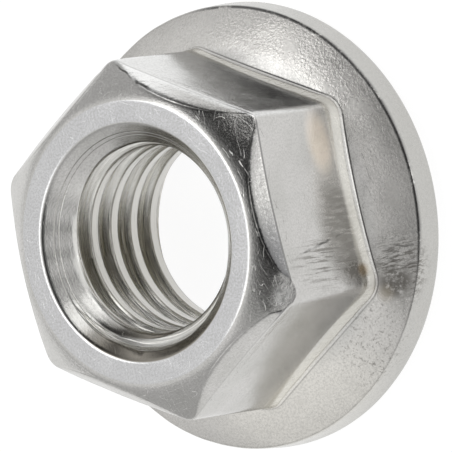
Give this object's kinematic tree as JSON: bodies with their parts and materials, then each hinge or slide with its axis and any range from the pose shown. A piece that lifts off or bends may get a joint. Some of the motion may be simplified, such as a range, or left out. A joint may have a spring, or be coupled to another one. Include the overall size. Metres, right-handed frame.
{
  "type": "flange nut",
  "caption": "Forged hexagon nut with a broad round flange under it, a threaded through hole and countersunk mouths, in plain stainless steel.",
  "frame": {"origin": "centre of the flange's bearing face, on the thread's axis", "axes": "+Z along the thread's axis, from the bearing face towards the hexagon's top; +X is square to one flat of the hexagon"},
  "size_m": [0.0208, 0.0208, 0.0096],
  "materials": {
    "stainless_steel": "bright cold-forged stainless steel, lightly scratched, with some dark forging smears"
  },
  "bodies": {
    "root": {"flange_nut": "stainless_steel"}
  },
  "joints": []
}
